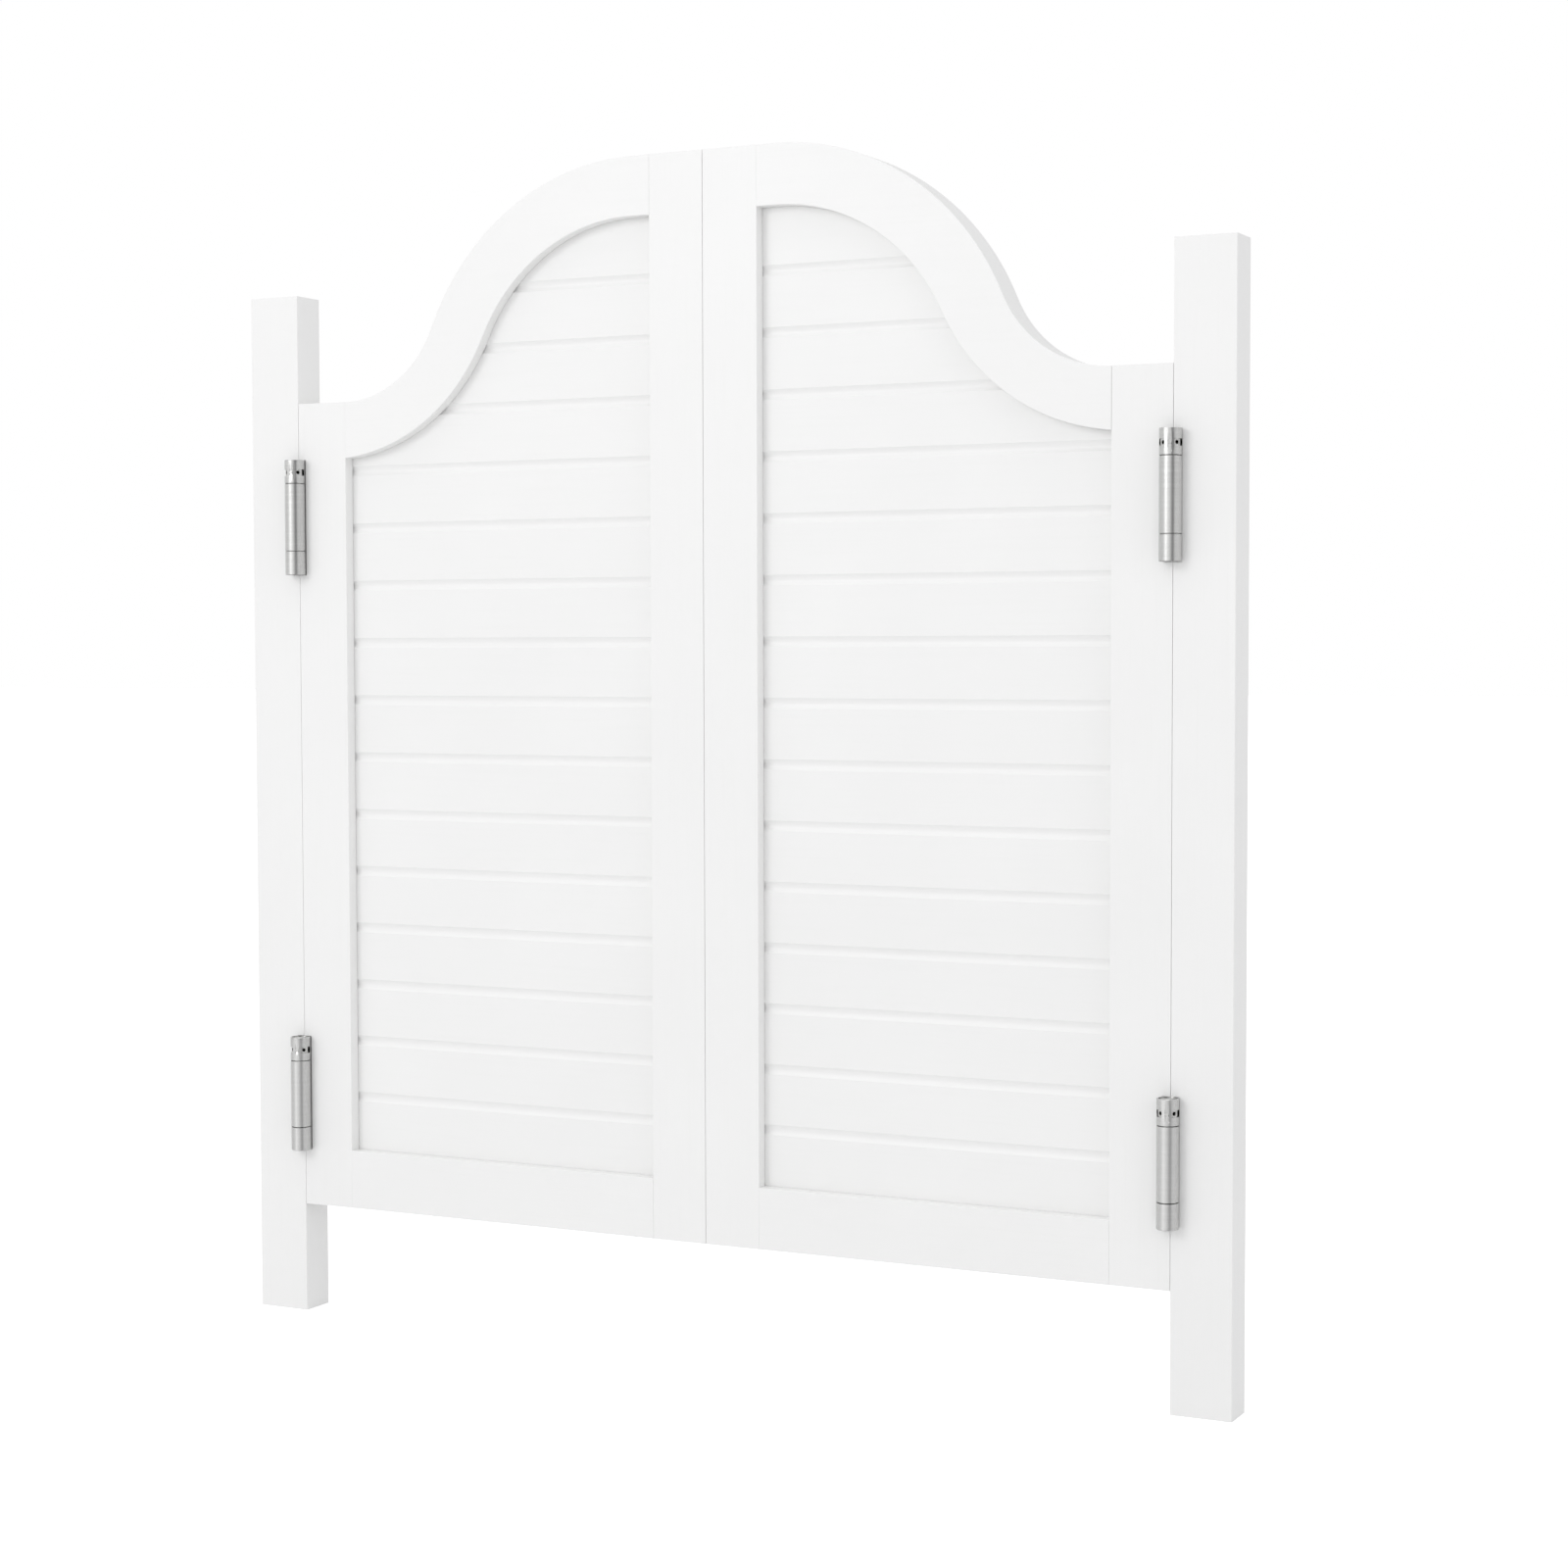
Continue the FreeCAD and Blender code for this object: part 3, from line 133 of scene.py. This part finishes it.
def paint_crack(tree, where):
    """Hairline along the one joint where the wood has moved and the paint has opened.

    A real one is about 0.1 mm wide. It is drawn twice as wide to show.
    """
    parts = add_node(tree, "ShaderNodeSeparateXYZ", [where])
    height = parts.outputs["Z"]
    aside = add_node(tree, "ShaderNodeMath", [parts.outputs["X"], CRACKED_JOINT_X],
                     operation="SUBTRACT")
    distance = add_node(tree, "ShaderNodeMath", [aside], operation="ABSOLUTE")
    line = add_node(tree, "ShaderNodeMapRange", [distance, *CRACK_EDGE, 1, 0])
    above = add_node(tree, "ShaderNodeMapRange",
                     [height, CRACKED_JOINT_BOTTOM, CRACKED_JOINT_BOTTOM + CRACK_FADE, 0, 1])
    below = add_node(tree, "ShaderNodeMapRange",
                     [height, CRACKED_JOINT_TOP - CRACK_FADE, CRACKED_JOINT_TOP, 1, 0])
    span = add_node(tree, "ShaderNodeMath", [above, below], operation="MULTIPLY")
    return add_node(tree, "ShaderNodeMath", [line, span], operation="MULTIPLY")


def satin_enamel(name, grain_sizes_mm, brush_sizes_mm):
    """White satin enamel brushed on close-grained wood.

    The paint levels into a soft sheen, keeps faint brush marks along the wood and lets a trace
    of the grain through.
    """
    material, tree, shader, where = start_material(name, {"IOR": 1.5})
    cast = stretched_noise(tree, where, (140, 140, 140), detail=2)
    grain = stretched_noise(tree, where, grain_sizes_mm, detail=6, shift=(3.1, 0.4, 1.7))
    brush = stretched_noise(tree, where, brush_sizes_mm, detail=3)
    orange_peel = stretched_noise(tree, where, (1.8, 1.8, 1.8), detail=1)
    thinner = add_node(tree, "ShaderNodeMapRange", [cast, *NOISE_RANGE, 0, 1])
    coat = add_node(tree, "ShaderNodeMix",
                    {"Factor": thinner, FIRST_COLOUR: "#F1F1F0", SECOND_COLOUR: "#EFEFEE"},
                    data_type="RGBA")
    pores = add_node(tree, "ShaderNodeMapRange", [grain, 0.52, 0.75, 0, 0.2])
    grained = add_node(tree, "ShaderNodeMix",
                       {"Factor": pores, FIRST_COLOUR: coat, SECOND_COLOUR: "#EBEBE9"},
                       data_type="RGBA")
    opened = paint_crack(tree, where)
    cracked = add_node(tree, "ShaderNodeMix",
                       {"Factor": opened, FIRST_COLOUR: grained, SECOND_COLOUR: "#9A9894"},
                       data_type="RGBA")
    sheen = add_node(tree, "ShaderNodeMapRange", [brush, *NOISE_RANGE, 0.38, 0.46])
    normal = layered_bump(tree, [(grain, 0.01), (brush, 0.008), (orange_peel, 0.005)])
    set_inputs(tree, shader, {"Base Color": cracked, "Roughness": sheen, "Normal": normal})
    return material


# Grain and brush marks run along each member. Real pores are under 0.5 mm wide, and are drawn
# two to three times as wide to show.
upright_enamel = satin_enamel("satin_enamel_on_upright_wood", (1.4, 1.4, 70), (1.1, 1.1, 160))
level_enamel = satin_enamel("satin_enamel_on_level_wood", (70, 1.4, 1.4), (160, 1.1, 1.1))


# Where the barrels stand: their axes from the middle of the set, which are the joints' own, the
# heights of the hinges' middles, and the distance of the seams and of the slots' upper edges from
# those.
FIRST_JOINT = record["behaviour"]["joints"][0]
BARREL_AXIS_X, BARREL_AXIS_Y = [abs(place) for place in FIRST_JOINT["pos_m"][:2]]
HINGE_MIDDLES = (0.1978, 0.7119)
SEAM_RISE = 29.8 * MM
SLOT_TOP_RISE = 42.4 * MM
BARREL_RADIUS = 8.8 * MM
COLLAR_RADIUS = 7.55 * MM

# Where the painted shade begins and ends: sideways of a seam, above the barrels' round face, under
# it in the slots, above the slots, and under the collars' round face.
SEAM_EDGE = (0.26 * MM, 0.42 * MM)
OUTER_EDGE = (BARREL_RADIUS + 0.05 * MM, BARREL_RADIUS + 0.1 * MM)
SLOT_EDGE = (BARREL_RADIUS - 0.4 * MM, BARREL_RADIUS - 0.2 * MM)
RIM_EDGE = (SLOT_TOP_RISE, SLOT_TOP_RISE + 0.5 * MM)
COLLAR_EDGE = (COLLAR_RADIUS - 0.35 * MM, COLLAR_RADIUS - 0.1 * MM)
# Near-black colour of the painted shade in seams, slots and holes and on faces that look down.
PAINTED_SHADE_COLOUR = "#23211E"


def distance_from_barrel_axis(tree, where):
    """Distance in metres from the nearest barrel's axis."""
    parts = add_node(tree, "ShaderNodeSeparateXYZ", [where])
    offsets = []
    for axis, stand in (("X", BARREL_AXIS_X), ("Y", BARREL_AXIS_Y)):
        side = add_node(tree, "ShaderNodeMath", [parts.outputs[axis]], operation="ABSOLUTE")
        offsets.append(add_node(tree, "ShaderNodeMath", [side, stand], operation="SUBTRACT"))
    across = add_node(tree, "ShaderNodeCombineXYZ", offsets)
    return add_node(tree, "ShaderNodeVectorMath", [across], operation="LENGTH")


def distance_from_hinge_middle(tree, where):
    """Distance in metres, up or down, from the nearest hinge's middle height."""
    height = add_node(tree, "ShaderNodeSeparateXYZ", [where]).outputs["Z"]
    rises = []
    for middle in HINGE_MIDDLES:
        rise = add_node(tree, "ShaderNodeMath", [height, middle], operation="SUBTRACT")
        rises.append(add_node(tree, "ShaderNodeMath", [rise], operation="ABSOLUTE"))
    return add_node(tree, "ShaderNodeMath", rises, operation="MINIMUM")


def facing(tree):
    """How far a face looks up, from -1 to 1, and a mask of the faces that stand upright."""
    normal = add_node(tree, "ShaderNodeTexCoord").outputs["Normal"]
    up = add_node(tree, "ShaderNodeSeparateXYZ", [normal]).outputs["Z"]
    level = add_node(tree, "ShaderNodeMath", [up], operation="ABSOLUTE")
    return up, add_node(tree, "ShaderNodeMapRange", [level, 0.5, 0.8, 1, 0])


def painted_shade_on_barrels(tree, where):
    """Share of painted shade: full in the seams and the slots' walls, half on faces that look down.
    """
    radius = distance_from_barrel_axis(tree, where)
    rise = distance_from_hinge_middle(tree, where)
    up, upright = facing(tree)
    past_seam = add_node(tree, "ShaderNodeMath", [rise, SEAM_RISE], operation="SUBTRACT")
    from_seam = add_node(tree, "ShaderNodeMath", [past_seam], operation="ABSOLUTE")
    seam = add_node(tree, "ShaderNodeMapRange", [from_seam, *SEAM_EDGE, 1, 0])
    on_barrel = add_node(tree, "ShaderNodeMapRange", [radius, *OUTER_EDGE, 1, 0])
    in_seam = add_node(tree, "ShaderNodeMath", [seam, on_barrel], operation="MULTIPLY")
    sunk = add_node(tree, "ShaderNodeMapRange", [radius, *SLOT_EDGE, 1, 0])
    below_rim = add_node(tree, "ShaderNodeMapRange", [rise, *RIM_EDGE, 1, 0])
    in_wall = add_node(tree, "ShaderNodeMath", [sunk, upright], operation="MULTIPLY")
    in_slot = add_node(tree, "ShaderNodeMath", [in_wall, below_rim], operation="MULTIPLY")
    # Faces that look down get painted shade at half strength.
    underside = add_node(tree, "ShaderNodeMapRange", [up, -0.95, -0.6, 0.5, 0])
    most = add_node(tree, "ShaderNodeMath", [in_seam, in_slot], operation="MAXIMUM")
    return add_node(tree, "ShaderNodeMath", [most, underside], operation="MAXIMUM")


def brushed_stainless():
    """Stainless steel tube and plate, brushed round the barrel to a satin finish.

    The fine rings spread each reflection up and down the barrel, handling leaves it a little
    uneven, and painted shade darkens the seams, the slots' walls and the faces that look down.
    Real brush lines are about 0.1 mm apart. They are drawn six times as coarse to show.
    """
    material, tree, shader, where = start_material("brushed_stainless_steel", {"Metallic": 1.0})
    rings = stretched_noise(tree, where, (60, 60, 0.6), detail=3)
    cloud = stretched_noise(tree, where, (25, 25, 25), detail=2)
    brushed = add_node(tree, "ShaderNodeMapRange", [rings, *NOISE_RANGE, 0, 1])
    steel = add_node(tree, "ShaderNodeMix",
                     {"Factor": brushed, FIRST_COLOUR: "#C6C6C5", SECOND_COLOUR: "#CECECD"},
                     data_type="RGBA")
    # Painted shade darkens the seams, the slots' walls and the faces that look down.
    barrel_painted_shade = painted_shade_on_barrels(tree, where)
    steel_with_painted_shade = add_node(tree, "ShaderNodeMix",
                     {"Factor": barrel_painted_shade, FIRST_COLOUR: steel, SECOND_COLOUR: PAINTED_SHADE_COLOUR},
                     data_type="RGBA")
    sheen = add_node(tree, "ShaderNodeMapRange", [cloud, *NOISE_RANGE, 0.20, 0.26])
    normal = layered_bump(tree, [(rings, 0.0012)])
    set_inputs(tree, shader, {"Base Color": steel_with_painted_shade, "Roughness": sheen, "Normal": normal})
    return material


def turned_stainless():
    """Stainless steel of the wood screws, turned bright with fine tool rings.

    Real tool rings are about 0.1 mm apart. They are drawn three times as coarse to show.
    """
    material, tree, shader, where = start_material("turned_stainless_steel", {"Metallic": 1.0})
    rings = stretched_noise(tree, where, (12, 12, 0.3), detail=2)
    stain = stretched_noise(tree, where, (6, 6, 6), detail=3)
    stained = add_node(tree, "ShaderNodeMapRange", [stain, *NOISE_RANGE, 0, 1])
    steel = add_node(tree, "ShaderNodeMix",
                     {"Factor": stained, FIRST_COLOUR: "#C9C9C8", SECOND_COLOUR: "#B4B4B3"},
                     data_type="RGBA")
    sheen = add_node(tree, "ShaderNodeMapRange", [rings, *NOISE_RANGE, 0.16, 0.28])
    normal = layered_bump(tree, [(rings, 0.003)])
    set_inputs(tree, shader, {"Base Color": steel, "Roughness": sheen, "Normal": normal})
    return material


def shaded_hole_steel():
    """Bright turned steel of the pins and collars, with painted shade black in their holes.

    Painted shade covers the upright faces wherever the steel lies under the collars' round outer
    face. The dished ends get none, and the tool rings are drawn as coarse as the screws'.
    """
    material, tree, shader, where = start_material("turned_steel_with_painted_shade", {"Metallic": 1.0})
    rings = stretched_noise(tree, where, (12, 12, 0.3), detail=2)
    smears = stretched_noise(tree, where, (4, 4, 2), detail=3)
    # Painted shade on the upright faces sunk under the collars' round face, in their holes.
    radius = distance_from_barrel_axis(tree, where)
    sunk = add_node(tree, "ShaderNodeMapRange", [radius, *COLLAR_EDGE, 1, 0])
    upright = facing(tree)[1]
    shade_in_holes = add_node(tree, "ShaderNodeMath", [sunk, upright], operation="MULTIPLY")
    smeared = add_node(tree, "ShaderNodeMapRange", [smears, *NOISE_RANGE, 0, 1])
    bright = add_node(tree, "ShaderNodeMix",
                      {"Factor": smeared, FIRST_COLOUR: "#D2D2D1", SECOND_COLOUR: "#BEBEBC"},
                      data_type="RGBA")
    steel = add_node(tree, "ShaderNodeMix",
                     {"Factor": shade_in_holes, FIRST_COLOUR: bright, SECOND_COLOUR: PAINTED_SHADE_COLOUR},
                     data_type="RGBA")
    sheen = add_node(tree, "ShaderNodeMapRange", [smears, *NOISE_RANGE, 0.16, 0.30])
    normal = layered_bump(tree, [(rings, 0.004), (smears, 0.01)])
    set_inputs(tree, shader, {"Base Color": steel, "Roughness": sheen, "Normal": normal})
    return material


def tempered_spring_steel():
    """Oil-tempered spring wire, dark grey with a blue-brown cast and a finely mottled skin."""
    material, tree, shader, where = start_material("oil_tempered_spring_steel", {"Metallic": 1.0})
    cast = stretched_noise(tree, where, (5, 5, 5), detail=3)
    skin = stretched_noise(tree, where, (0.6, 0.6, 0.6), detail=2)
    browned = add_node(tree, "ShaderNodeMapRange", [cast, *NOISE_RANGE, 0, 1])
    wire = add_node(tree, "ShaderNodeMix",
                    {"Factor": browned, FIRST_COLOUR: "#55565A", SECOND_COLOUR: "#4B4743"},
                    data_type="RGBA")
    sheen = add_node(tree, "ShaderNodeMapRange", [skin, *NOISE_RANGE, 0.35, 0.5])
    normal = layered_bump(tree, [(skin, 0.01)])
    set_inputs(tree, shader, {"Base Color": wire, "Roughness": sheen, "Normal": normal})
    return material


def beech():
    """Plain beech dowel: pale pink-brown with short dark flecks along the grain."""
    material, tree, shader, where = start_material("plain_beech", {"Roughness": 0.7, "IOR": 1.45})
    streaks = stretched_noise(tree, where, (40, 1.5, 1.5), detail=5)
    flecks = stretched_noise(tree, where, (3, 0.4, 0.4), detail=1)
    streaked = add_node(tree, "ShaderNodeMapRange", [streaks, *NOISE_RANGE, 0, 1])
    wood = add_node(tree, "ShaderNodeMix",
                    {"Factor": streaked, FIRST_COLOUR: "#D3B48C", SECOND_COLOUR: "#C39E72"},
                    data_type="RGBA")
    darkest = add_node(tree, "ShaderNodeMapRange", [flecks, 0.6, 0.75, 0, 0.6])
    flecked = add_node(tree, "ShaderNodeMix",
                       {"Factor": darkest, FIRST_COLOUR: wood, SECOND_COLOUR: "#8F6A45"},
                       data_type="RGBA")
    normal = layered_bump(tree, [(streaks, 0.05), (flecks, 0.03)])
    set_inputs(tree, shader, {"Base Color": flecked, "Normal": normal})
    return material


steel_brushed = brushed_stainless()
steel_turned = turned_stainless()
steel_with_shaded_holes = shaded_hole_steel()
steel_spring = tempered_spring_steel()
dowel_beech = beech()


def material_for(node_name):
    """Finish of a node, by what it is."""
    if "dowels" in node_name:
        return dowel_beech
    if "springs" in node_name:
        return steel_spring
    if "screws" in node_name:
        return steel_turned
    if "pins" in node_name or "collars" in node_name:
        return steel_with_shaded_holes
    if "hinge_leaves" in node_name or "centre_plates" in node_name:
        return steel_brushed
    if "post" in node_name or "stile" in node_name:
        return upright_enamel
    return level_enamel


for node_name, cad_object in nodes.items():
    cad_object.data.materials.clear()
    cad_object.data.materials.append(material_for(node_name))


# ---------------------------------------------------------------- hinge ironwork
HINGE_WORDS = ("hinge_leaves", "centre_plates", "collars", "barrel_pins", "leaf_screws", "springs")

# Corners closer than MERGE_DISTANCE become one. Triangles that lie flat within FLAT_WITHIN pair
# into quads, whose corners may be SHAPE_WITHIN off square. Edges that bend less than SMOOTH_UNDER
# are shaded smooth.
MERGE_DISTANCE = 0.002 * MM
FLAT_WITHIN = math.radians(1)
SHAPE_WITHIN = math.radians(60)
SMOOTH_UNDER = math.radians(30)


def body_of_node(node_name):
    """Moving body that a node belongs to."""
    bodies = record["behaviour"]["bodies"]
    return next(body for body, members in bodies.items() if node_name in members)


def smooth_copy(node_name):
    """Copy of a turned or rolled piece with its triangles merged and its round faces smooth."""
    bpy.ops.object.select_all(action="DESELECT")
    mesh = nodes[node_name].data.copy()
    piece = bpy.data.objects.new(node_name.replace("_", "-"), mesh)
    scene.collection.objects.link(piece)
    bpy.context.view_layer.objects.active = piece
    piece.select_set(True)
    bpy.ops.object.mode_set(mode="EDIT")
    bpy.ops.mesh.select_all(action="SELECT")
    bpy.ops.mesh.remove_doubles(threshold=MERGE_DISTANCE)
    bpy.ops.mesh.tris_convert_to_quads(face_threshold=FLAT_WITHIN, shape_threshold=SHAPE_WITHIN)
    bpy.ops.object.mode_set(mode="OBJECT")
    bpy.ops.object.shade_smooth_by_angle(angle=SMOOTH_UNDER)
    weighted = piece.modifiers.new("weighted", "WEIGHTED_NORMAL")
    weighted.keep_sharp = True
    bpy.ops.object.modifier_apply(modifier=weighted.name)
    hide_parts(node_name)
    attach(piece, body_of_node(node_name))


for node_name in list(nodes):
    if node_name.endswith(HINGE_WORDS):
        smooth_copy(node_name)


# ---------------------------------------------------------------- floor and studio
# The floor is lifted to white for the camera. Polished steel sees it faintly, so that the
# studio's bands run down past the feet of the barrels.
FLOOR_WIDTH = 60
FLOOR_LIFT = 0.5
FLOOR_HIDDEN_FROM_STEEL = 0.6

# Brightness round the studio that polished steel reflects, by compass angle in degrees from the
# front towards the right: a bright window left of the camera and a dark flag right of it. All
# else is lit by plain walls.
STUDIO_BANDS = [(-180, 0.55), (-125, 0.95), (-60, 0.90), (-42, 1.15), (-25, 1.62), (-8, 1.22),
                (12, 1.00), (26, 0.60), (38, 0.28), (50, 0.28), (62, 0.80), (80, 0.90),
                (125, 0.88), (150, 0.60), (180, 0.55)]
STUDIO_WALLS = (0.84, 0.84, 0.85, 1)


def studio_floor():
    """Wide pale floor that runs past every view and keeps the doors' shadow."""
    bpy.ops.mesh.primitive_plane_add(size=FLOOR_WIDTH, location=(0, 0, 0))
    floor = bpy.context.object
    floor.name = "studio_floor"
    material, tree, shader, where = start_material("pale_studio_floor", {"Roughness": 0.9})
    mottle = stretched_noise(tree, where, (300, 300, 300), detail=2)
    mottled = add_node(tree, "ShaderNodeMapRange", [mottle, *NOISE_RANGE, 0, 1])
    paper = add_node(tree, "ShaderNodeMix",
                     {"Factor": mottled, FIRST_COLOUR: "#EEEEEE", SECOND_COLOUR: "#ECECEC"},
                     data_type="RGBA")
    path = add_node(tree, "ShaderNodeLightPath")
    lift = add_node(tree, "ShaderNodeMath", [path.outputs["Is Camera Ray"], FLOOR_LIFT],
                    operation="MULTIPLY")
    set_inputs(tree, shader, {"Base Color": paper, "Emission Color": "#FFFFFF",
                              "Emission Strength": lift})
    hidden = add_node(tree, "ShaderNodeMath",
                      [path.outputs["Is Glossy Ray"], FLOOR_HIDDEN_FROM_STEEL],
                      operation="MULTIPLY")
    clear = add_node(tree, "ShaderNodeBsdfTransparent")
    surface = add_node(tree, "ShaderNodeMixShader", [hidden, shader, clear])
    set_inputs(tree, tree.nodes["Material Output"], {"Surface": surface})
    floor.data.materials.append(material)


def studio_world():
    """Even white studio, whose window, dark flag and greyer sides only polished steel shows."""
    world = bpy.data.worlds.new("studio")
    scene.world = world
    world.use_nodes = True
    tree = world.node_tree
    path = add_node(tree, "ShaderNodeLightPath")
    direction = add_node(tree, "ShaderNodeTexCoord").outputs["Generated"]
    parts = add_node(tree, "ShaderNodeSeparateXYZ", [direction])
    forward = add_node(tree, "ShaderNodeMath", [parts.outputs["Y"], -1], operation="MULTIPLY")
    azimuth = add_node(tree, "ShaderNodeMath", [parts.outputs["X"], forward],
                       operation="ARCTAN2")
    turn = add_node(tree, "ShaderNodeMapRange", [azimuth, -math.pi, math.pi, 0, 1])
    bands = add_node(tree, "ShaderNodeValToRGB", [turn])
    elements = bands.color_ramp.elements
    while len(elements) < len(STUDIO_BANDS):
        elements.new(0.5)
    for element, (degrees, level) in zip(elements, STUDIO_BANDS):
        element.position = (degrees + 180) / 360
        element.color = (level, level, level, 1)
    lit = add_node(tree, "ShaderNodeMix",
                   {"Factor": path.outputs["Is Glossy Ray"], FIRST_COLOUR: STUDIO_WALLS,
                    SECOND_COLOUR: bands}, data_type="RGBA")
    seen = add_node(tree, "ShaderNodeMix",
                    {"Factor": path.outputs["Is Camera Ray"], FIRST_COLOUR: lit,
                     SECOND_COLOUR: "#FFFFFF"}, data_type="RGBA")
    set_inputs(tree, tree.nodes["Background"], {"Color": seen, "Strength": 1.0})


def softbox(name, place, aim, width, height, watts, seen_by_steel=True):
    """Rectangular area light at a place, turned towards its aim."""
    light = bpy.data.lights.new(name, "AREA")
    light.shape = "RECTANGLE"
    light.size = width
    light.size_y = height
    light.energy = watts
    lamp = bpy.data.objects.new(name, light)
    scene.collection.objects.link(lamp)
    lamp.location = place
    lamp.rotation_euler = (Vector(aim) - Vector(place)).to_track_quat("-Z", "Y").to_euler()
    lamp.visible_glossy = seen_by_steel


studio_floor()
studio_world()
softbox("key_softbox", place=(-1.4, -3.3, 2.0), aim=(0, 0, 0.6), width=1.6, height=1.6, watts=25)
softbox("top_softbox", place=(0.0, -0.4, 3.4), aim=(0, 0, 0.5), width=2.4, height=1.6, watts=9)
softbox("right_softbox", place=(3.0, -0.8, 1.3), aim=(0.3, 0, 0.7), width=1.6, height=1.8,
        watts=6, seen_by_steel=False)

# ---------------------------------------------------------------- camera
LENS_MM = 66.67
SENSOR_MM = 36
CAMERA_PLACE = (1.1365, -2.1435, 0.5984)
CAMERA_TURN_DEGREES = (87.2498, 0.1316, 26.5331)

lens = bpy.data.cameras.new("camera")
lens.lens = LENS_MM
lens.sensor_width = SENSOR_MM
camera = bpy.data.objects.new("camera", lens)
scene.collection.objects.link(camera)
camera.location = CAMERA_PLACE
camera.rotation_euler = [math.radians(angle) for angle in CAMERA_TURN_DEGREES]
scene.camera = camera
scene.view_settings.view_transform = "Standard"
